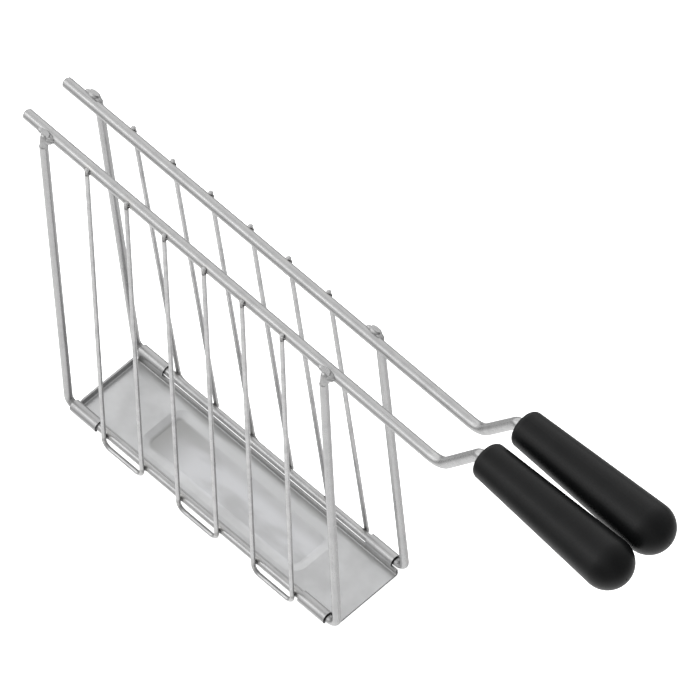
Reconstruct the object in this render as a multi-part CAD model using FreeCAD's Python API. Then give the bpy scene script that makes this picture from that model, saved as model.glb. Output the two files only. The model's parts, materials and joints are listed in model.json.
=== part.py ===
"""Wire cage for toasting a filled sandwich in a slot toaster.

A shallow sheet-metal tray carries two wire sides.  Each side is a heavy top rail, a U-shaped frame
wire and three thin loop wires welded together, with a plastic grip on the end of the rail.  The
bottom of each frame wire runs through two curled knuckles of the tray, and the side turns on it.

Axes: +X runs along the cage to the grips, +Y to the back side, +Z up.  The origin is the centre of
the tray's flat underside, in the plane that the cage stands on.  Millimetres throughout.
"""
import FreeCAD, Part
import math
import os

os.makedirs("parts", exist_ok=True)

# ---- driving dimensions ---------------------------------------------------------------------
CAGE_LENGTH = 130.0          # between the axes of the two end uprights
HINGE_SPACING = 31.1         # between the two hinge axes
SIDE_LEAN = 1.35             # degrees that each closed side leans in from vertical
RAIL_HEIGHT = 143.5          # hinge axis to rail axis, up the side, at the cage's middle
RAIL_FALL = 3.7              # how much lower the rail is at the grips' end of the cage

RAIL_DIAMETER = 4.0
FRAME_DIAMETER = 3.0
LOOP_DIAMETER = 1.6
WELD_SINK = 0.10             # how far the frame wire sinks into what it is welded to
RAIL_WELD_SINK = 0.50        # how far the wires' upper ends sink into the rail

RAIL_OVERHANG = 11.5         # rail past the upright at the free end
JOG_START = 114.9            # from the cage's middle to the corner where the rail turns up
JOG_RUN = 18.4
JOG_RISE = 24.1
JOG_LOWER_RADIUS = 10.0
JOG_UPPER_RADIUS = 4.0
TANG_LENGTH = 45.0           # of the rail inside the grip
RAIL_END_CHAMFER = 0.5

GRIP_GAP = 2.0               # from the rail's upper corner to the grip's inner end
GRIP_LENGTH = 63.6
GRIP_INNER_RADIUS = 6.45
GRIP_TIP_RADIUS = 8.7
GRIP_RIM_RADIUS = 2.2
GRIP_SPLAY = 0.8             # degrees that each grip turns outward
GRIP_DROOP = 0.75            # degrees that each grip points below level
GRIP_BORE_SPARE = 0.5        # empty end of the bore past the tang

FRAME_CORNER_RADII = (3.0, 4.5)
UPRIGHT_RAKE = 0.9           # how far the foot of the upright nearest the grips is set back
UPRIGHT_TOP = 2.8            # the uprights' flattened ends above the rail's axis
FLAT_LENGTH = 6.2            # hammered length at the top of each upright
FLAT_RUN_IN = 3.6            # part of it over which round turns to flat
FLAT_WIDTH = 3.8
FLAT_THICKNESS = 1.7

LOOP_COUNT = 3
LOOP_WIDTH = 18.4
LOOP_PITCH = 36.0
FRONT_LOOP_SHIFT = -0.35     # the loops' middle along X, as each side was welded
BACK_LOOP_SHIFT = -1.7
LOOP_DROP = 3.8              # loop's bottom axis below the hinge axis
LOOP_TOP = 1.4               # loop ends above the rail's axis
LOOP_CORNER_RADIUS = 3.0

SHEET = 0.7                  # tray sheet thickness
TRAY_ENDS = (-62.7, 62.0)    # the lip's outer face and the floor's open end
KNUCKLE_LENGTH = 12.2
KNUCKLE_INSETS = (0.4, 2.5)  # floor past the knuckles at each end
HINGE_CLEARANCE = 0.06       # radial, knuckle to frame wire
CURL_ANGLE = 230.0           # degrees of curl from the wall over the wire
WALL_HEIGHT = 3.0            # low wall between the knuckles, from the floor's underside
BEND_RADIUS = 0.5            # inside radius of every sheet bend
LIP_HEIGHT = 3.1             # upturned end lip, from the floor's underside
LIP_HALF_WIDTH = 12.75
LIP_CORNER_RADIUS = 1.6      # on the lip's two top corners
RELIEF_RADIUS = 0.9          # corner reliefs between the lip and the walls
SUNK_DEPTH = 0.8
SUNK_FLAT = (70.0, 14.8)     # flat bottom of the sunk panel, along X and Y
SUNK_SLOPE = 3.5             # width of the sloping border round it
SUNK_CORNER = 2.5

TOUCH = 0.01                 # two places this close are the same place
OVERRUN = 1.0                # how far a cutting shape runs past what it cuts

# ---- derived places --------------------------------------------------------------------------
RAIL_R = RAIL_DIAMETER / 2
FRAME_R = FRAME_DIAMETER / 2
LOOP_R = LOOP_DIAMETER / 2
UPRIGHT_X = CAGE_LENGTH / 2
HINGE_Y = HINGE_SPACING / 2
LEAN = math.radians(SIDE_LEAN)
SPLAY = math.radians(GRIP_SPLAY)
DROOP = math.radians(GRIP_DROOP)
RAIL_OUT = -(RAIL_R + FRAME_R - WELD_SINK)               # rail axis, outward from the frame wire's
FLAT_OUT = RAIL_OUT + RAIL_R + FLAT_THICKNESS / 2 - RAIL_WELD_SINK
LOOP_OUT_LOW = FRAME_R + LOOP_R - WELD_SINK              # loop axis beside the frame wire
LOOP_OUT_HIGH = RAIL_OUT + RAIL_R + LOOP_R - RAIL_WELD_SINK   # loop axis beside the rail
LOOP_SLOPE = (LOOP_OUT_HIGH - LOOP_OUT_LOW) / RAIL_HEIGHT
LOOP_OUT_FOOT = LOOP_OUT_LOW - LOOP_SLOPE * LOOP_DROP
# The loops' feet and the sunk panel's underside share the plane z = 0.
HINGE_Z = LOOP_R + LOOP_DROP * math.cos(LEAN) - LOOP_OUT_FOOT * math.sin(LEAN)

KNUCKLE_INNER = FRAME_R + HINGE_CLEARANCE
KNUCKLE_OUTER = KNUCKLE_INNER + SHEET
WALL_OUTER_Y = HINGE_Y - KNUCKLE_INNER
FLOOR_UNDER = SUNK_DEPTH
FLOOR_TOP = FLOOR_UNDER + SHEET

X_AXIS = FreeCAD.Vector(1, 0, 0)
Z_AXIS = FreeCAD.Vector(0, 0, 1)


def vec(x, y, z):
    return FreeCAD.Vector(x, y, z)


def export(name, shape):
    """Write one piece, and stop if it isn't a single sound solid."""
    if len(shape.Solids) != 1 or not shape.isValid():
        raise ValueError("%s: %d solids, valid %s" % (name, len(shape.Solids), shape.isValid()))
    solid = shape.Solids[0]
    solid.exportStep("parts/%s.step" % name)
    print("%-20s volume %8.1f mm3" % (name, solid.Volume))


# ---- wire work -------------------------------------------------------------------------------
def rounded_path(points, radii):
    """Straight runs through the points, joined by tangent arcs of the given radii."""
    edges = []
    start = points[0]
    for before, corner, after, radius in zip(points, points[1:], points[2:], radii):
        back = (before - corner).normalize()
        ahead = (after - corner).normalize()
        half = back.getAngle(ahead) / 2
        trim = radius / math.tan(half)
        bisector = (back + ahead).normalize()
        middle = corner + bisector * (radius / math.sin(half) - radius)
        arc_start = corner + back * trim
        arc_end = corner + ahead * trim
        edges.append(Part.LineSegment(start, arc_start).toShape())
        edges.append(Part.Arc(arc_start, middle, arc_end).toShape())
        start = arc_end
    edges.append(Part.LineSegment(start, points[-1]).toShape())
    return Part.Wire(edges)


def round_wire(points, radii, diameter):
    """A solid round wire bent along the points."""
    path = rounded_path(points, radii)
    direction = (points[1] - points[0]).normalize()
    section = Part.Wire(Part.Circle(points[0], direction, diameter / 2).toShape())
    return path.makePipeShell([section], True, False).Solids[0]


def rail_up(x):
    """Height of the rail's axis up the side."""
    return RAIL_HEIGHT - RAIL_FALL * x / CAGE_LENGTH


class Side:
    """Places on one wire side: x along the cage, out from the frame wire's plane, up the side."""

    def __init__(self, name, sign, loop_shift):
        self.name = name
        self.loop_shift = loop_shift
        self.hinge = vec(0, sign * HINGE_Y, HINGE_Z)
        self.out = vec(0, sign * math.cos(LEAN), math.sin(LEAN))
        self.up = vec(0, -sign * math.sin(LEAN), math.cos(LEAN))

    def at(self, x, out, up):
        return self.hinge + X_AXIS * x + self.out * out + self.up * up

    def on_rail(self, x):
        """A point on the rail's straight axis, which falls towards the grips."""
        return self.at(x, RAIL_OUT, rail_up(x))

    def jog_top(self):
        return self.at(JOG_START + JOG_RUN, RAIL_OUT, rail_up(JOG_START) + JOG_RISE)

    def grip_direction(self):
        return (X_AXIS + self.out * math.tan(SPLAY) - self.up * math.tan(DROOP)).normalize()


def make_rail(side):
    """Top rail: straight over the cage, up the jog, then straight on as the grip's tang."""
    points = [
        side.on_rail(-UPRIGHT_X - RAIL_OVERHANG),
        side.on_rail(JOG_START),
        side.jog_top(),
        side.jog_top() + side.grip_direction() * (GRIP_GAP + TANG_LENGTH),
    ]
    rail = round_wire(points, [JOG_LOWER_RADIUS, JOG_UPPER_RADIUS], RAIL_DIAMETER)
    ends = [edge for edge in rail.Edges if is_end_circle(edge, points)]
    return rail.makeChamfer(RAIL_END_CHAMFER, ends)


def is_end_circle(edge, points):
    """True for the circle that bounds either cut end of a wire."""
    centre = edge.BoundBox.Center
    return min(centre.distanceToPoint(points[0]), centre.distanceToPoint(points[-1])) < TOUCH


def make_frame_wire(side):
    """U-shaped wire: hinge run at the bottom, two uprights with hammered tops."""
    feet = (side.at(-UPRIGHT_X, 0, 0), side.at(UPRIGHT_X - UPRIGHT_RAKE, 0, 0))
    ends = (side.at(-UPRIGHT_X, 0, flat_start(-UPRIGHT_X)), side.at(UPRIGHT_X, 0, flat_start(UPRIGHT_X)))
    wire = round_wire([ends[0], feet[0], feet[1], ends[1]], FRAME_CORNER_RADII, FRAME_DIAMETER)
    return wire.multiFuse([make_flattened_top(side, foot, end) for foot, end in zip(feet, ends)])


def flat_start(x):
    """Height up the side at which an upright starts to turn flat."""
    return rail_up(x) + UPRIGHT_TOP - FLAT_LENGTH


def make_flattened_top(side, foot, end):
    """The top of an upright, squeezed from round to a flat oval that lies on the rail."""
    along = (end - foot).normalize()
    broadside = along.cross(side.out).normalize()
    round_end = Part.Circle(end, along, FRAME_R)
    round_end.XAxis = broadside
    outlines = [round_end]
    for rise in (FLAT_RUN_IN, FLAT_LENGTH):
        centre = end + along * rise + side.out * FLAT_OUT
        broad = centre + broadside * (FLAT_WIDTH / 2)
        thin = centre + side.out * (FLAT_THICKNESS / 2)
        outlines.append(Part.Ellipse(broad, thin, centre))
    sections = [Part.Wire(outline.toShape()) for outline in outlines]
    return Part.makeLoft(sections, True, False)


def make_loop(side, middle):
    """Thin U-shaped wire: welded to the rail and the frame wire, its bend hangs below them."""
    left = middle - LOOP_WIDTH / 2
    right = middle + LOOP_WIDTH / 2
    points = [
        loop_end(side, left),
        side.at(left, LOOP_OUT_FOOT, -LOOP_DROP),
        side.at(right, LOOP_OUT_FOOT, -LOOP_DROP),
        loop_end(side, right),
    ]
    return round_wire(points, [LOOP_CORNER_RADIUS, LOOP_CORNER_RADIUS], LOOP_DIAMETER)


def loop_end(side, x):
    """Top end of a thin leg, just above the rail."""
    top = rail_up(x) + LOOP_TOP
    return side.at(x, LOOP_OUT_LOW + LOOP_SLOPE * top, top)


def make_grip(side):
    """Moulded grip: a slow taper from a rounded rim to a domed tip, bored for the tang."""
    taper = math.atan2(GRIP_TIP_RADIUS - GRIP_INNER_RADIUS, GRIP_LENGTH - GRIP_TIP_RADIUS)
    dome_centre = GRIP_LENGTH - GRIP_TIP_RADIUS
    sin_t = math.sin(taper)
    cos_t = math.cos(taper)
    rim_height = GRIP_INNER_RADIUS - GRIP_RIM_RADIUS * (1 - sin_t) / cos_t
    rim_mid = math.radians(135) + taper / 2
    bore_end = TANG_LENGTH + GRIP_BORE_SPARE

    along = side.grip_direction()
    across = along.cross(side.out).normalize()
    origin = side.jog_top() + along * GRIP_GAP

    def profile(s, r):
        return origin + along * s + across * r

    rim_start = profile(0, rim_height)
    rim_middle = profile(GRIP_RIM_RADIUS * (1 + math.cos(rim_mid)),
                         rim_height + GRIP_RIM_RADIUS * math.sin(rim_mid))
    rim_end = profile(GRIP_RIM_RADIUS * (1 - sin_t), rim_height + GRIP_RIM_RADIUS * cos_t)
    dome_start = profile(dome_centre - GRIP_TIP_RADIUS * sin_t, GRIP_TIP_RADIUS * cos_t)
    dome_middle = profile(dome_centre + GRIP_TIP_RADIUS * math.sin(math.pi / 4),
                          GRIP_TIP_RADIUS * math.cos(math.pi / 4))
    tip = profile(GRIP_LENGTH, 0)
    bore_bottom = profile(bore_end, 0)
    bore_corner = profile(bore_end, RAIL_R)
    bore_mouth = profile(0, RAIL_R)
    outline = Part.Wire([
        Part.LineSegment(bore_mouth, rim_start).toShape(),
        Part.Arc(rim_start, rim_middle, rim_end).toShape(),
        Part.LineSegment(rim_end, dome_start).toShape(),
        Part.Arc(dome_start, dome_middle, tip).toShape(),
        Part.LineSegment(tip, bore_bottom).toShape(),
        Part.LineSegment(bore_bottom, bore_corner).toShape(),
        Part.LineSegment(bore_corner, bore_mouth).toShape(),
    ])
    return Part.Face(outline).revolve(origin, along, 360)


# ---- tray ------------------------------------------------------------------------------------
def make_channel(start, end, height):
    """U-shaped channel of sheet along X, with rounded bends."""
    length = end - start
    outside = Part.makeBox(length, 2 * WALL_OUTER_Y, height, vec(start, -WALL_OUTER_Y, FLOOR_UNDER))
    inner_half = WALL_OUTER_Y - SHEET
    inside = Part.makeBox(length + 2 * OVERRUN, 2 * inner_half, height,
                          vec(start - OVERRUN, -inner_half, FLOOR_TOP))
    outside = round_bottom_edges(outside, FLOOR_UNDER, BEND_RADIUS + SHEET)
    inside = round_bottom_edges(inside, FLOOR_TOP, BEND_RADIUS)
    return outside.cut(inside)


def round_bottom_edges(box, z, radius):
    """Fillet the bottom edges that run along X."""
    chosen = []
    for edge in box.Edges:
        bounds = edge.BoundBox
        if bounds.XLength > TOUCH and bounds.ZMax < z + TOUCH:
            chosen.append(edge)
    return box.makeFillet(radius, chosen)


def make_knuckle(sign, start):
    """One corner tab: the wall carried up and curled out and down round the hinge wire."""
    def ring(radius, degrees):
        angle = math.radians(180 - degrees)
        across = HINGE_Y + radius * math.cos(angle)
        return vec(start, sign * across, HINGE_Z + radius * math.sin(angle))

    foot = FLOOR_UNDER + WALL_HEIGHT - SHEET
    foot_outer = vec(start, sign * WALL_OUTER_Y, foot)
    foot_inner = vec(start, sign * (WALL_OUTER_Y - SHEET), foot)
    inner = [ring(KNUCKLE_INNER, CURL_ANGLE * share) for share in (0, 0.5, 1)]
    outer = [ring(KNUCKLE_OUTER, CURL_ANGLE * share) for share in (0, 0.5, 1)]
    outline = Part.Wire([
        Part.LineSegment(foot_outer, inner[0]).toShape(),
        Part.Arc(*inner).toShape(),
        Part.LineSegment(inner[2], outer[2]).toShape(),
        Part.Arc(*reversed(outer)).toShape(),
        Part.LineSegment(outer[0], foot_inner).toShape(),
        Part.LineSegment(foot_inner, foot_outer).toShape(),
    ])
    return Part.Face(outline).extrude(X_AXIS * KNUCKLE_LENGTH)


def make_lip():
    """Upturned lip at the end away from the grips, with a rounded foot."""
    outer = BEND_RADIUS + SHEET
    reach = 2 * outer
    face_x = TRAY_ENDS[0]
    width = 2 * LIP_HALF_WIDTH
    block = Part.makeBox(reach, width, LIP_HEIGHT, vec(face_x, -LIP_HALF_WIDTH, FLOOR_UNDER))
    hollow = Part.makeBox(reach, width + 2 * OVERRUN, LIP_HEIGHT,
                          vec(face_x + SHEET, -LIP_HALF_WIDTH - OVERRUN, FLOOR_TOP))
    block = round_lip_foot(block, outer)
    hollow = round_lip_foot(hollow, BEND_RADIUS)
    lip = block.cut(hollow)
    return lip.makeFillet(LIP_CORNER_RADIUS, [edge for edge in lip.Edges if is_lip_corner(edge)])


def is_lip_corner(edge):
    """True for the two short edges at the ends of the lip's top."""
    bounds = edge.BoundBox
    return bounds.ZMin > FLOOR_UNDER + LIP_HEIGHT - TOUCH and bounds.YLength < TOUCH


def round_lip_foot(box, radius):
    """Fillet the lowest edge along Y on the side away from the grips."""
    whole = box.BoundBox
    chosen = []
    for edge in box.Edges:
        bounds = edge.BoundBox
        low = bounds.ZMax < whole.ZMin + TOUCH
        far = bounds.XMax < whole.XMin + TOUCH
        if low and far:
            chosen.append(edge)
    return box.makeFillet(radius, chosen)


def rounded_rectangle(size_x, size_y, radius, z):
    """A closed wire, centred on the Z axis."""
    plate = Part.makeBox(size_x, size_y, SHEET, vec(-size_x / 2, -size_y / 2, z))
    uprights = [edge for edge in plate.Edges if edge.BoundBox.ZLength > TOUCH]
    rounded = plate.makeFillet(radius, uprights)
    lowest = min(rounded.Faces, key=lambda face: face.CenterOfMass.z)
    return lowest.OuterWire


def sunk_form(top):
    """Solid between the sunk panel's upper outline and its flat bottom."""
    flat_x, flat_y = SUNK_FLAT
    border = 2 * SUNK_SLOPE
    lower = rounded_rectangle(flat_x, flat_y, SUNK_CORNER, top - SUNK_DEPTH)
    upper = rounded_rectangle(flat_x + border, flat_y + border, SUNK_CORNER + SUNK_SLOPE, top)
    return Part.makeLoft([lower, upper], True, True)


def make_tray():
    """Floor with low walls, four curled knuckles, an end lip and a sunk panel."""
    left, right = TRAY_ENDS
    tray = make_channel(left, right, WALL_HEIGHT)
    starts = (left + KNUCKLE_INSETS[0], right - KNUCKLE_INSETS[1] - KNUCKLE_LENGTH)
    knuckles = [make_knuckle(sign, start) for sign in (-1, 1) for start in starts]
    lip_reach = 2 * (BEND_RADIUS + SHEET)
    end_gap = Part.makeBox(lip_reach, 2 * LIP_HALF_WIDTH, WALL_HEIGHT,
                           vec(left, -LIP_HALF_WIDTH, FLOOR_UNDER))
    tray = tray.cut(end_gap).fuse(make_lip())
    for sign in (-1, 1):
        foot = vec(left, sign * WALL_OUTER_Y, FLOOR_UNDER)
        relief = Part.makeCylinder(RELIEF_RADIUS, LIP_HEIGHT, foot, Z_AXIS)
        tray = tray.cut(relief)
    tray = tray.multiFuse(knuckles)
    tray = tray.fuse(sunk_form(FLOOR_UNDER)).cut(sunk_form(FLOOR_TOP))
    return tray.removeSplitter()


# ---- build -----------------------------------------------------------------------------------
export("tray", make_tray())
for side in (Side("front", -1, FRONT_LOOP_SHIFT), Side("back", 1, BACK_LOOP_SHIFT)):
    export(side.name + "_rail", make_rail(side))
    export(side.name + "_frame_wire", make_frame_wire(side))
    for index in range(LOOP_COUNT):
        middle = side.loop_shift + (index - (LOOP_COUNT - 1) / 2) * LOOP_PITCH
        export("%s_loop_%d" % (side.name, index + 1), make_loop(side, middle))
    export(side.name + "_grip", make_grip(side))
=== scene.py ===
"""Looks of a hinged wire cage for toasting sandwiches: satin steel wires and tray, matte black grips.

Everything is in metres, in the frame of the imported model: +X to the grips, +Y to the back, +Z up.
"""
import json
import math

import bmesh
import bpy
from mathutils import Matrix, Vector, noise


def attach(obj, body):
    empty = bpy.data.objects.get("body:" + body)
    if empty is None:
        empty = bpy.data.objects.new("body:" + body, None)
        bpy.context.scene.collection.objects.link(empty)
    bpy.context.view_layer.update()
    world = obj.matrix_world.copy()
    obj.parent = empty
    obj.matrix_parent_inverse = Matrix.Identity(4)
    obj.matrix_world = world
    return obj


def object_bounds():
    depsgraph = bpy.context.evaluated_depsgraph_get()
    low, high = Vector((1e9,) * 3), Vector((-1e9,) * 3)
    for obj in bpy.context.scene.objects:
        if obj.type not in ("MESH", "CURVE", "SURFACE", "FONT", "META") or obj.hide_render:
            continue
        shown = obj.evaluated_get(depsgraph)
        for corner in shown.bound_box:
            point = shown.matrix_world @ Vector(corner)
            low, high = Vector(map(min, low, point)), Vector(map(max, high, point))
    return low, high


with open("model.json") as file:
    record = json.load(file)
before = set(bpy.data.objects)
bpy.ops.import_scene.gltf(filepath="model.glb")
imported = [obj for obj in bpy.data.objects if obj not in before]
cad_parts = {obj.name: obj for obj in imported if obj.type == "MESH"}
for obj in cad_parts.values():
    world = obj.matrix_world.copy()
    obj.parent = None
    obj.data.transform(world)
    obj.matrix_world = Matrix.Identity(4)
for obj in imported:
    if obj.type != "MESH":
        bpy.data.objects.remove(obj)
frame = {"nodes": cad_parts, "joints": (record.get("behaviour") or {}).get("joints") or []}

CAD_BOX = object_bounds()
MM = 0.001

# ---- the object's own sizes, as built ----------------------------------------------------------
LEAN = math.radians(1.35)    # how far each closed side leans in
FRAME_R = 1.5 * MM           # radius of the frame wire
WELD_SINK = 0.1 * MM         # how far the frame wire sinks into what it is welded to
RAIL_FALL = 3.7 / 130        # the rail's fall towards the grips, per unit of length
LOOP_NAMES = ("loop_1", "loop_2", "loop_3")

# Places on the tray and the frame wires, in mm.
LIP_END = -52                # along X; the cut edges that face the grips all lie past this
KNUCKLE_END = 59.5           # along X; the knuckles' ends that face the grips
WALL_FOOT = 13.0             # along Y; where the floor starts to turn up into the back wall
FLOOR_TOP = 1.55             # height; the floor and all that is pressed below it
PANEL_TOP = 0.75             # height; the flat bottom of the sunk panel
FRAME_BEND = 6               # height; above it the frame wire's drawn lines run up
LOOP_BEND = 2                # height; above it the loops' drawn lines run up

# ---- camera and stage --------------------------------------------------------------------------
CAMERA_AZIMUTH = math.radians(50.2043)   # from -Y towards +X
CAMERA_ELEVATION = math.radians(55.2065)
CAMERA_ROLL = math.radians(-5.1834)
CAMERA_DISTANCE = 3.21796
CAMERA_AIM = Vector((0.042538, 0.018396, 0.106757))
CAMERA_LENS = 514.43
SENSOR_WIDTH = 36.0
FLOOR_SIZE = 8.0             # side of the square floor
WORLD_STRENGTH = 1.3


class Side:
    """Directions and weld places of one wire side, read from its CAD nodes."""

    def __init__(self, name, sign, joint):
        self.name = name
        self.body = name + "_side"
        self.hinge = Vector(joint["pos_m"])
        self.out = Vector((0, sign * math.cos(LEAN), math.sin(LEAN)))
        self.up = Vector((0, -sign * math.sin(LEAN), math.cos(LEAN)))
        self.rail_end = free_end(name + "_rail")
        self.legs = [leg for loop in LOOP_NAMES for leg in leg_tops(name + "_" + loop)]
        self.uprights = leg_tops(name + "_frame_wire")

    def height_of(self, point):
        """How far up the side a point is from the hinge axis."""
        return (point - self.hinge).dot(self.up)

    def at(self, x, out, up):
        """A point by its X and its distances outward and up the side from the hinge axis."""
        return Vector((x, self.hinge.y, self.hinge.z)) + self.out * out + self.up * up

    def beside_rail(self, x):
        """A point on the outer surface of the rail, level with its axis."""
        height = self.height_of(self.rail_end) - RAIL_FALL * (x - self.rail_end.x)
        return self.at(x, -FRAME_R + WELD_SINK, height)

    def rail_contacts(self):
        """Where each thin leg touches the rail."""
        return [self.beside_rail(leg.x) for leg in self.legs]

    def foot_contacts(self):
        """Where each thin leg touches the frame wire's bottom run."""
        return [self.at(leg.x, FRAME_R, 0) for leg in self.legs]

    def upright_contacts(self):
        """Where each upright's flattened end touches the rail."""
        return [self.beside_rail(top.x) for top in self.uprights]


def node_points(node):
    """Copies of a CAD node's vertices."""
    return [v.co.copy() for v in frame["nodes"][node].data.vertices]


def middle(points):
    """Centre of the box round some points."""
    lowest = Vector(min(p[i] for p in points) for i in range(3))
    highest = Vector(max(p[i] for p in points) for i in range(3))
    return (lowest + highest) / 2


def free_end(node):
    """Centre of a rail's end face, away from the grips."""
    points = node_points(node)
    lowest = min(p.x for p in points)
    return middle([p for p in points if p.x - lowest < 0.3 * MM])


def leg_tops(node):
    """Centres of the two top end faces of a U-shaped wire, left one first."""
    points = node_points(node)
    centre_x = middle(points).x
    ends = []
    for left in (True, False):
        leg = [p for p in points if (p.x < centre_x) == left]
        top = max(p.z for p in leg)
        ends.append(middle([p for p in leg if p.z > top - 0.12 * MM]))
    return ends


# ---- node helpers ------------------------------------------------------------------------------
class Shader:
    """A material under construction, with short calls for the nodes that it uses."""

    def __init__(self, name):
        self.material = bpy.data.materials.new(name)
        self.material.use_nodes = True
        self.tree = self.material.node_tree
        self.bsdf = self.tree.nodes["Principled BSDF"]
        self.place = self.mapped((1 / MM, 1 / MM, 1 / MM))

    def node(self, kind, **settings):
        made = self.tree.nodes.new(kind)
        for key, value in settings.items():
            setattr(made, key, value)
        return made

    def link(self, source, target):
        self.tree.links.new(source, target)

    def put(self, value, socket):
        """Set a socket to a plain value, or link it."""
        if isinstance(value, bpy.types.NodeSocket):
            self.link(value, socket)
        else:
            socket.default_value = value

    def mapped(self, scale):
        """Object coordinates, scaled."""
        coordinates = self.node("ShaderNodeTexCoord")
        mapping = self.node("ShaderNodeMapping")
        mapping.inputs["Scale"].default_value = scale
        self.link(coordinates.outputs["Object"], mapping.inputs["Vector"])
        return mapping.outputs["Vector"]

    def noise(self, vector, scale, detail=2.0, roughness=0.5):
        made = self.node("ShaderNodeTexNoise")
        made.inputs["Scale"].default_value = scale
        made.inputs["Detail"].default_value = detail
        made.inputs["Roughness"].default_value = roughness
        self.link(vector, made.inputs["Vector"])
        return made.outputs["Fac"]

    def ramp(self, value, low, high, to_low=0.0, to_high=1.0):
        """A smooth step from one result at low to another at high."""
        made = self.node("ShaderNodeMapRange", interpolation_type="SMOOTHSTEP")
        self.link(value, made.inputs["Value"])
        made.inputs["From Min"].default_value = low
        made.inputs["From Max"].default_value = high
        made.inputs["To Min"].default_value = to_low
        made.inputs["To Max"].default_value = to_high
        return made.outputs["Result"]

    def math(self, operation, *values):
        made = self.node("ShaderNodeMath", operation=operation)
        for value, socket in zip(values, made.inputs):
            self.put(value, socket)
        return made.outputs["Value"]

    def mix(self, factor, first, second):
        made = self.node("ShaderNodeMix", data_type="RGBA")
        self.put(factor, made.inputs[0])
        self.put(first, made.inputs[6])
        self.put(second, made.inputs[7])
        return made.outputs[2]

    def distance(self, point):
        """Distance in mm from one point of the object."""
        made = self.node("ShaderNodeVectorMath", operation="DISTANCE")
        self.link(self.place, made.inputs[0])
        made.inputs[1].default_value = point / MM
        return made.outputs["Value"]

    def nearest(self, points):
        """Distance in mm from the nearest of several points."""
        value = self.distance(points[0])
        for point in points[1:]:
            value = self.math("MINIMUM", value, self.distance(point))
        return value

    def bump(self, height, strength, distance):
        made = self.node("ShaderNodeBump")
        made.inputs["Strength"].default_value = strength
        made.inputs["Distance"].default_value = distance
        self.link(height, made.inputs["Height"])
        self.link(made.outputs["Normal"], self.bsdf.inputs["Normal"])

    def axis_value(self, axis):
        """Place along one axis, in mm."""
        made = self.node("ShaderNodeSeparateXYZ")
        self.link(self.place, made.inputs[0])
        return made.outputs[axis]


def rgb(red, green, blue):
    return (red, green, blue, 1.0)


# ---- materials ---------------------------------------------------------------------------------
STEEL_LIGHT = rgb(0.450, 0.450, 0.450)
STEEL_DARK = rgb(0.395, 0.395, 0.397)
LOOP_STEEL = rgb(0.53, 0.53, 0.53)
FLOOR_STEEL = rgb(0.60, 0.605, 0.61)
PANEL_STEEL = rgb(0.64, 0.645, 0.66)
PANEL_PAINTED_SHADE = rgb(0.33, 0.33, 0.325)
FLOOR_SHADE = rgb(0.27, 0.27, 0.265)
STEEL_PIT = rgb(0.30, 0.30, 0.30)
CUT_EDGE_SHADE = rgb(0.05, 0.05, 0.052)
HEAT_STRAW = rgb(0.46, 0.445, 0.42)
# near black: the heat scorch at the welds, also used for the painted shade beside the knuckles and under
# the leg welds
SCORCH_AND_SHADE_BLACK = rgb(0.05, 0.048, 0.048)
GRIP_BLACK = rgb(0.0032, 0.0034, 0.0036)
GRIP_WORN = rgb(0.0044, 0.0046, 0.0048)
SATIN = 0.8                  # metallic share of the dull steel surfaces


def drawn_steel(name, bend_height=None, welds=(), light=STEEL_LIGHT):
    """Drawn stainless wire: fine lines along the wire, faint blotches, heat tint beside the welds, and
    on bent wires a band of painted shade just past the knuckles' ends.
    """
    shader = Shader(name)
    along_x = shader.mapped((60, 2400, 2400))
    lines = shader.noise(along_x, 1.0, 3.0)
    if bend_height is not None:
        along_z = shader.mapped((2400, 2400, 60))
        upright_lines = shader.noise(along_z, 1.0, 3.0)
        height = shader.axis_value("Z")
        above = shader.ramp(height, bend_height, bend_height + 3)
        lines = shader.mix(above, lines, upright_lines)
    blotch = shader.noise(shader.place, 0.22, 4.0, 0.6)
    pits = shader.ramp(shader.noise(shader.place, 2.6, 2.0), 0.68, 0.74)
    colour = shader.mix(shader.ramp(blotch, 0.35, 0.8), light, STEEL_DARK)
    colour = shader.mix(shader.math("MULTIPLY", pits, 0.5), colour, STEEL_PIT)
    rough = shader.ramp(lines, 0.3, 0.7, 0.25, 0.37)
    if welds:
        ragged = shader.math("MULTIPLY_ADD", shader.noise(shader.place, 1.1, 3.0), 1.6, 0.5)
        away = shader.math("SUBTRACT", shader.nearest(welds), ragged)
        straw = shader.ramp(away, 0.5, 2.0, 0.25, 0.0)
        scorch = shader.ramp(away, 0.0, 0.5, 0.4, 0.0)
        colour = shader.mix(straw, colour, HEAT_STRAW)
        colour = shader.mix(scorch, colour, SCORCH_AND_SHADE_BLACK)
        rough = shader.math("ADD", rough, shader.math("MULTIPLY", scorch, 0.2))
    if bend_height is not None:
        # painted shade: a near-black band just past the knuckles' ends, below the bend, for the shadow
        # in the gap between knuckle and wire
        past = shader.math("SUBTRACT", shader.axis_value("X"), KNUCKLE_END)
        knuckle_gap_shade = shader.ramp(shader.math("ABSOLUTE", past), 0.25, 0.6, 1.0, 0.0)
        knuckle_gap_shade = shader.math("MULTIPLY", knuckle_gap_shade, shader.math("SUBTRACT", 1.0, above))
        colour = shader.mix(knuckle_gap_shade, colour, SCORCH_AND_SHADE_BLACK)
    shader.put(colour, shader.bsdf.inputs["Base Color"])
    shader.put(rough, shader.bsdf.inputs["Roughness"])
    shader.bsdf.inputs["Metallic"].default_value = SATIN
    shader.bump(lines, 0.25, 0.02 * MM)
    return shader.material


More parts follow.
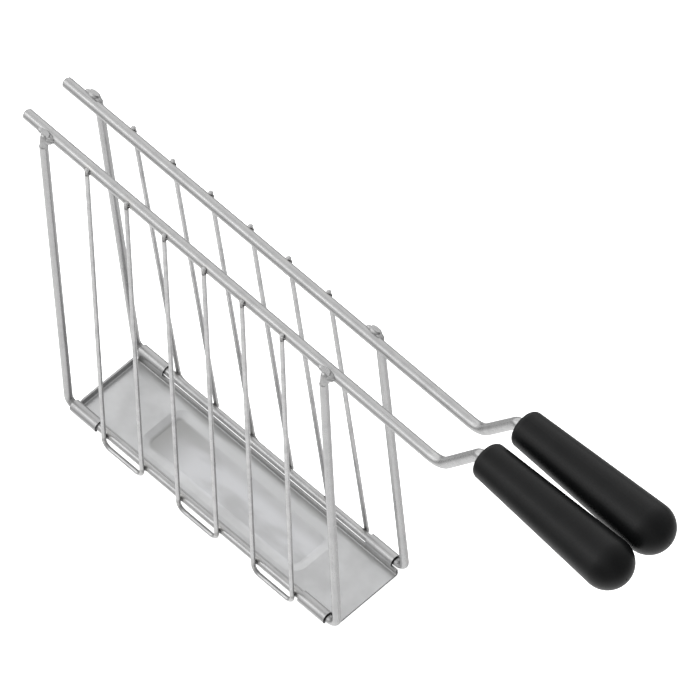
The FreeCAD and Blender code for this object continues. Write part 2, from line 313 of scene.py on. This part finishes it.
def sheet_steel(name):
    """Rolled stainless sheet: faint lines along X, a stained sunk panel with painted shade and a painted
    highlight, and the sheared edges darkened with painted shade.
    """
    shader = Shader(name)
    along_x = shader.axis_value("X")
    along_y = shader.axis_value("Y")
    height = shader.axis_value("Z")
    lines = shader.noise(shader.mapped((220, 6000, 6000)), 1.0, 3.0, 0.6)
    smudge = shader.noise(shader.place, 0.07, 3.0, 0.55)
    fine = shader.noise(shader.place, 0.5, 4.0, 0.65)
    colour = shader.mix(shader.ramp(smudge, 0.3, 0.7), STEEL_LIGHT, STEEL_DARK)
    colour = shader.mix(shader.ramp(fine, 0.55, 0.8, 0.0, 0.35), colour, STEEL_DARK)

    # the floor, brightest where it is least smudged
    flat = shader.ramp(height, FLOOR_TOP, FLOOR_TOP + 0.3, 1.0, 0.0)
    clean = shader.math("MULTIPLY", flat, shader.ramp(smudge, 0.3, 0.7, 1.0, 0.55))
    colour = shader.mix(clean, colour, FLOOR_STEEL)

    # the sunk panel: painted shade at its left end and towards its back, random stains, and a painted
    # highlight on the slope at its back
    sunk = shader.ramp(height, PANEL_TOP, PANEL_TOP + 0.3, 0.85, 0.0)
    stain = shader.noise(shader.mapped((35, 90, 90)), 1.0, 3.0, 0.55)
    # painted shade: darker at the panel's left end and towards its back
    left_end_shade_fade = shader.ramp(along_x, -37, -16)
    back_shade_fade = shader.ramp(along_y, 1.5, 5.5, 1.0, 0.65)
    stains_and_painted_light = shader.math("MULTIPLY", left_end_shade_fade, back_shade_fade)
    stains_and_painted_light = shader.math("MULTIPLY", stains_and_painted_light, shader.ramp(stain, 0.45, 0.68, 1.0, 0.5))
    colour = shader.mix(sunk, colour, shader.mix(stains_and_painted_light, PANEL_PAINTED_SHADE, PANEL_STEEL))
    # painted highlight: the panel's back slope in the bright floor colour
    slope = shader.ramp(height, FLOOR_TOP - 0.3, FLOOR_TOP, 0.85, 0.0)
    back_slope_highlight = shader.math("MULTIPLY", slope, shader.ramp(along_y, 6.5, 8.0))
    colour = shader.mix(back_slope_highlight, colour, FLOOR_STEEL)

    # an uneven shade along the foot of the back wall
    inward = shader.math("SUBTRACT", WALL_FOOT, along_y)
    cloud = shader.noise(shader.mapped((45, 200, 200)), 1.0, 2.0)
    reach = shader.ramp(cloud, 0.3, 0.7, 2.0, 4.5)
    shade = shader.ramp(shader.math("DIVIDE", inward, reach), 0.0, 1.0, 0.75, 0.0)
    colour = shader.mix(shader.math("MULTIPLY", shade, flat), colour, FLOOR_SHADE)

    # painted shade: the cut edges that face the grips, near black for the shadow and dark reflection
    # they show beside the wire
    parts = shader.node("ShaderNodeSeparateXYZ")
    shader.link(shader.node("ShaderNodeNewGeometry").outputs["Normal"], parts.inputs[0])
    facing = shader.ramp(parts.outputs["X"], 0.9, 0.97)
    shaded_cut_edges = shader.math("MULTIPLY", facing, shader.ramp(along_x, LIP_END - 1, LIP_END))
    colour = shader.mix(shaded_cut_edges, colour, CUT_EDGE_SHADE)

    shader.put(colour, shader.bsdf.inputs["Base Color"])
    shader.put(shader.ramp(lines, 0.3, 0.7, 0.30, 0.36), shader.bsdf.inputs["Roughness"])
    shader.bsdf.inputs["Metallic"].default_value = SATIN
    waves = shader.noise(shader.mapped((22, 45, 45)), 1.0, 1.0)
    shader.bump(shader.math("MULTIPLY_ADD", lines, 0.012, shader.math("MULTIPLY", waves, 0.35)), 1.0, MM)
    return shader.material


def weld_metal(name):
    """Melted steel of the spot welds, a little duller than the wire, with small pits."""
    shader = Shader(name)
    grain = shader.noise(shader.place, 1.4, 4.0, 0.65)
    colour = shader.mix(shader.ramp(grain, 0.62, 0.72), STEEL_LIGHT, STEEL_PIT)
    shader.put(colour, shader.bsdf.inputs["Base Color"])
    shader.put(shader.ramp(grain, 0.3, 0.7, 0.32, 0.55), shader.bsdf.inputs["Roughness"])
    shader.bsdf.inputs["Metallic"].default_value = SATIN
    shader.bump(grain, 0.5, 0.08 * MM)
    return shader.material


def weld_soot(name):
    """Dark drops in the corners of the welds: painted shadow under the legs' weld nuggets, and dark
    spots at the feet and the upright tops.
    """
    shader = Shader(name)
    grain = shader.noise(shader.place, 2.2, 3.0, 0.6)
    colour = shader.mix(shader.ramp(grain, 0.35, 0.65), SCORCH_AND_SHADE_BLACK, STEEL_PIT)
    shader.put(colour, shader.bsdf.inputs["Base Color"])
    shader.put(shader.ramp(grain, 0.3, 0.7, 0.5, 0.7), shader.bsdf.inputs["Roughness"])
    shader.bsdf.inputs["Metallic"].default_value = 0.6
    shader.bump(grain, 0.5, 0.08 * MM)
    return shader.material


def grip_plastic(name):
    """Black moulded plastic with a fine spark-eroded texture."""
    shader = Shader(name)
    grain = shader.noise(shader.place, 5.5, 3.0, 0.6)
    blotch = shader.noise(shader.place, 0.12, 3.0, 0.5)
    colour = shader.mix(shader.ramp(blotch, 0.35, 0.7), GRIP_BLACK, GRIP_WORN)
    shader.put(colour, shader.bsdf.inputs["Base Color"])
    shader.put(shader.ramp(grain, 0.3, 0.7, 0.30, 0.42), shader.bsdf.inputs["Roughness"])
    shader.bsdf.inputs["Specular IOR Level"].default_value = 0.21
    shader.bump(grain, 0.6, 0.05 * MM)
    return shader.material


def paint(node, material):
    """Give a CAD node one material."""
    mesh = frame["nodes"][node].data
    mesh.materials.clear()
    mesh.materials.append(material)


# ---- welds -------------------------------------------------------------------------------------
def lump(mesh, side, centre, half_sizes, reach, unevenness, seed):
    """One drop of weld metal: an uneven squashed ball, drawn out both ways along its reach."""
    spot = Vector((seed * 7.3, seed * 3.1, seed * 5.7))
    axes = (Vector((1, 0, 0)), side.out, side.up)
    made = bmesh.ops.create_icosphere(mesh, subdivisions=3, radius=1.0)
    for vertex in made["verts"]:
        direction = vertex.co.normalized()
        coarse = noise.noise(direction * 1.7 + spot)
        fine = noise.noise(direction * 4.5 + spot)
        swell = 1.0 + unevenness * (coarse + 0.4 * fine)
        end = max(-1.0, min(1.0, 3.0 * direction.z))
        vertex.co = centre
        for axis, part, half_size, spread in zip(axes, direction, half_sizes, reach):
            vertex.co += axis * (part * half_size * swell + end * spread) * MM


def make_welds(name, side, places, material, unevenness=0.22):
    """All the weld drops of one kind on one side, as one riding piece."""
    mesh = bmesh.new()
    for seed, (centre, half_sizes, reach) in enumerate(places):
        lump(mesh, side, centre, half_sizes, reach, unevenness, seed + len(name))
    for face in mesh.faces:
        face.smooth = True
    data = bpy.data.meshes.new(name)
    mesh.to_mesh(data)
    mesh.free()
    data.materials.append(material)
    piece = bpy.data.objects.new(name, data)
    bpy.context.scene.collection.objects.link(piece)
    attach(piece, side.body)


# Drops at each kind of crossing, in mm along the rail, outward and up the side: the shift of the
# centre, the half sizes and, for a drop that is drawn out, its reach.
RAIL_NUGGETS = [((0, 0.05, 0.3), (0.95, 0.4, 1.0))]
LEG_NUGGETS = [((0, 0, -0.2), (0.86, 0.82, 0.38))]
# painted shadow: dark drops under each leg's weld nugget
LEG_SHADOW_SPOTS = [
    ((0.25, 0.62, -2.2), (0.5, 0.28, 0.3)),
    ((0.9, 0.1, -1.75), (0.32, 0.34, 0.3)),
    ((0.8, -0.3, -0.75), (0.24, 0.28, 0.2)),
]
FOOT_NUGGETS = [((0, 0, 0), (0.95, 0.3, 0.7))]
FOOT_DARK_SPOTS = [((0.85, -0.02, 0.45), (0.4, 0.25, 0.5))]
UPRIGHT_FILLETS = [
    ((0, 1.0, -1.6), (1.54, 1.45, 1.45), (0, -0.4, 2.3)),
    ((-0.2, -0.1, 1.65), (2.0, 1.3, 1.15)),
    ((-2.2, -0.1, 1.2), (1.7, 0.9, 1.1)),
    ((0.8, 0.2, -0.1), (2.5, 1.45, 1.5)),
    ((1.1, -0.2, 0.9), (2.5, 1.2, 1.1)),
    ((2.05, 0.15, -1.0), (0.42, 0.38, 0.4)),
]
UPRIGHT_DARK_SPOTS = [
    ((1.8, 0.5, -1.6), (0.28, 0.25, 0.2)),
    ((-1.65, 0.8, -0.7), (0.26, 0.24, 0.26)),
    ((1.5, -0.7, 1.6), (0.24, 0.2, 0.16)),
]


def drops(side, point, places):
    """Places for drops round one crossing of a side."""
    for shift, half_sizes, *reach in places:
        x, out, up = shift
        centre = point + (Vector((x, 0, 0)) + side.out * out + side.up * up) * MM
        yield centre, half_sizes, reach[0] if reach else (0, 0, 0)


def weld_side(side, nugget_material, dark_spot_material):
    """Melted steel at every crossing, with dark drops in its corners: painted shadow under the legs'
    nuggets, dark spots at the feet and the upright tops.
    """
    nuggets = []
    dark_spot_places = []
    fillets = []
    for point in side.rail_contacts():
        nuggets.extend(drops(side, point, RAIL_NUGGETS))
    for leg in side.legs:
        nuggets.extend(drops(side, leg, LEG_NUGGETS))
        dark_spot_places.extend(drops(side, leg, LEG_SHADOW_SPOTS))
    for point in side.foot_contacts():
        nuggets.extend(drops(side, point, FOOT_NUGGETS))
        dark_spot_places.extend(drops(side, point, FOOT_DARK_SPOTS))
    for point in side.upright_contacts():
        fillets.extend(drops(side, point, UPRIGHT_FILLETS))
        dark_spot_places.extend(drops(side, point, UPRIGHT_DARK_SPOTS))
    make_welds(side.name + "_weld_nuggets", side, nuggets, nugget_material)
    make_welds(side.name + "_end_fillets", side, fillets, nugget_material, 0.06)
    make_welds(side.name + "_weld_soot", side, dark_spot_places, dark_spot_material)


# ---- stage -------------------------------------------------------------------------------------
def add_floor():
    """A pale floor that lights the object from below a little."""
    mesh = bpy.data.meshes.new("studio_floor")
    half = FLOOR_SIZE / 2
    corners = [(-half, -half, 0), (half, -half, 0), (half, half, 0), (-half, half, 0)]
    mesh.from_pydata(corners, [], [(0, 1, 2, 3)])
    floor = bpy.data.objects.new("studio_floor", mesh)
    bpy.context.scene.collection.objects.link(floor)
    shader = Shader("studio_floor")
    shader.bsdf.inputs["Base Color"].default_value = rgb(0.9, 0.9, 0.9)
    shader.bsdf.inputs["Roughness"].default_value = 0.9
    shader.bsdf.inputs["Specular IOR Level"].default_value = 0.0
    shader.bsdf.inputs["Emission Color"].default_value = rgb(1.0, 1.0, 1.0)
    shader.bsdf.inputs["Emission Strength"].default_value = 0.8
    mesh.materials.append(shader.material)
    floor.visible_glossy = False


def add_light(name, direction, distance, width, height, power, in_reflections=True):
    """A softbox that faces the middle of the object."""
    data = bpy.data.lights.new(name, "AREA")
    data.shape = "RECTANGLE"
    data.size = width
    data.size_y = height
    data.energy = power
    light = bpy.data.objects.new(name, data)
    bpy.context.scene.collection.objects.link(light)
    aim = (CAD_BOX[0] + CAD_BOX[1]) / 2
    toward = Vector(direction).normalized()
    light.location = aim + toward * distance
    light.rotation_euler = toward.to_track_quat("Z", "Y").to_euler()
    light.visible_glossy = in_reflections


class Sky:
    """The studio round the object, as brightness by direction."""

    def __init__(self):
        world = bpy.data.worlds.new("studio")
        bpy.context.scene.world = world
        world.use_nodes = True
        self.tree = world.node_tree
        self.background = self.tree.nodes["Background"]
        coordinates = self.tree.nodes.new("ShaderNodeTexCoord")
        self.direction = coordinates.outputs["Generated"]

    def along(self, axis, *stops):
        """Brightness that follows how far a direction points along an axis, from -1 to 1."""
        dot = self.tree.nodes.new("ShaderNodeVectorMath")
        dot.operation = "DOT_PRODUCT"
        self.tree.links.new(self.direction, dot.inputs[0])
        dot.inputs[1].default_value = Vector(axis).normalized()
        spread = self.tree.nodes.new("ShaderNodeMapRange")
        spread.inputs["From Min"].default_value = -1.0
        self.tree.links.new(dot.outputs["Value"], spread.inputs["Value"])
        ramp = self.tree.nodes.new("ShaderNodeValToRGB")
        ramp.color_ramp.interpolation = "EASE"
        self.tree.links.new(spread.outputs["Result"], ramp.inputs["Fac"])
        elements = ramp.color_ramp.elements
        while len(elements) < len(stops):
            elements.new(0.5)
        for element, (position, value) in zip(elements, stops):
            element.position = (position + 1) / 2
            element.color = (value, value, value, 1.0)
        return ramp.outputs["Color"]

    def blend(self, kind, first, second, factor=1.0):
        """Two brightnesses, mixed or multiplied."""
        mix = self.tree.nodes.new("ShaderNodeMix")
        mix.data_type = "RGBA"
        mix.blend_type = kind
        if isinstance(factor, float):
            mix.inputs[0].default_value = factor
        else:
            self.tree.links.new(factor, mix.inputs[0])
        self.tree.links.new(first, mix.inputs[6])
        self.tree.links.new(second, mix.inputs[7])
        return mix.outputs[2]


def add_world():
    """White studio: brighter to the left, grey at the horizon, pale under the object's front left."""
    sky = Sky()
    front_to_back = sky.along((0, -1, 0), (-0.95, 1.0), (-0.6, 0.92), (-0.2, 0.71), (0.1, 0.71),
                              (0.38, 1.0), (0.6, 1.2), (0.8, 0.9), (0.95, 0.5))
    left_to_right = sky.along((-1, 0, 0), (-0.6, 0.35), (-0.1, 0.55), (0.25, 0.78), (0.45, 1.0),
                              (0.9, 1.3))
    upper = sky.blend("MULTIPLY", front_to_back, left_to_right)
    downwards = sky.along((0, 0, -1), (0.0, 0.3), (0.3, 0.42), (0.75, 0.92))
    under_front = sky.along((-0.3, -0.95, 0), (-0.55, 0.68), (-0.25, 0.78), (0.1, 1.0))
    under_left = sky.along((-1, 0, 0), (0.5, 1.0), (0.68, 0.85), (0.8, 0.4))
    below = sky.blend("MULTIPLY", sky.blend("MULTIPLY", downwards, under_front), under_left)
    horizon = sky.along((0, 0, 1), (-0.1, 0.0), (0.08, 1.0))
    sky.tree.links.new(sky.blend("MIX", below, upper, horizon), sky.background.inputs["Color"])
    sky.background.inputs["Strength"].default_value = WORLD_STRENGTH


def add_camera():
    """The main view: from the front right, well above the rails, rolled a little."""
    data = bpy.data.cameras.new("camera")
    data.lens = CAMERA_LENS
    data.sensor_width = SENSOR_WIDTH
    data.clip_start = 0.1
    data.clip_end = 20.0
    camera = bpy.data.objects.new("camera", data)
    bpy.context.scene.collection.objects.link(camera)
    flat = math.cos(CAMERA_ELEVATION)
    away = Vector((flat * math.sin(CAMERA_AZIMUTH), -flat * math.cos(CAMERA_AZIMUTH),
                   math.sin(CAMERA_ELEVATION)))
    look = away.to_track_quat("Z", "Y").to_matrix().to_4x4()
    roll = Matrix.Rotation(CAMERA_ROLL, 4, "Z")
    camera.matrix_world = Matrix.Translation(CAMERA_AIM + away * CAMERA_DISTANCE) @ look @ roll
    bpy.context.scene.camera = camera


# ---- build -------------------------------------------------------------------------------------
weld_material = weld_metal("weld_metal")
dark_spot_material = weld_soot("weld_soot")
grip_material = grip_plastic("grip_plastic")
paint("tray", sheet_steel("sheet_steel"))
for name, sign, joint in zip(("front", "back"), (-1, 1), frame["joints"]):
    side = Side(name, sign, joint)
    paint(name + "_rail", drawn_steel(name + "_rail_steel", None, side.rail_contacts()))
    paint(name + "_frame_wire", drawn_steel(name + "_frame_steel", FRAME_BEND, side.foot_contacts()))
    for index, loop in enumerate(LOOP_NAMES):
        own = slice(2 * index, 2 * index + 2)
        loop_welds = side.rail_contacts()[own] + side.foot_contacts()[own]
        steel = drawn_steel(name + "_" + loop + "_steel", LOOP_BEND, loop_welds, LOOP_STEEL)
        paint(name + "_" + loop, steel)
    paint(name + "_grip", grip_material)
    weld_side(side, weld_material, dark_spot_material)

add_floor()
add_world()
add_light("key_box", (-0.45, -0.60, 0.66), 1.6, 1.1, 0.3, 1.4)
add_light("floor_wash", (-0.3, -0.1, 1.0), 2.0, 2.0, 2.0, 30.0, in_reflections=False)
add_camera()
bpy.context.scene.view_settings.view_transform = "Standard"
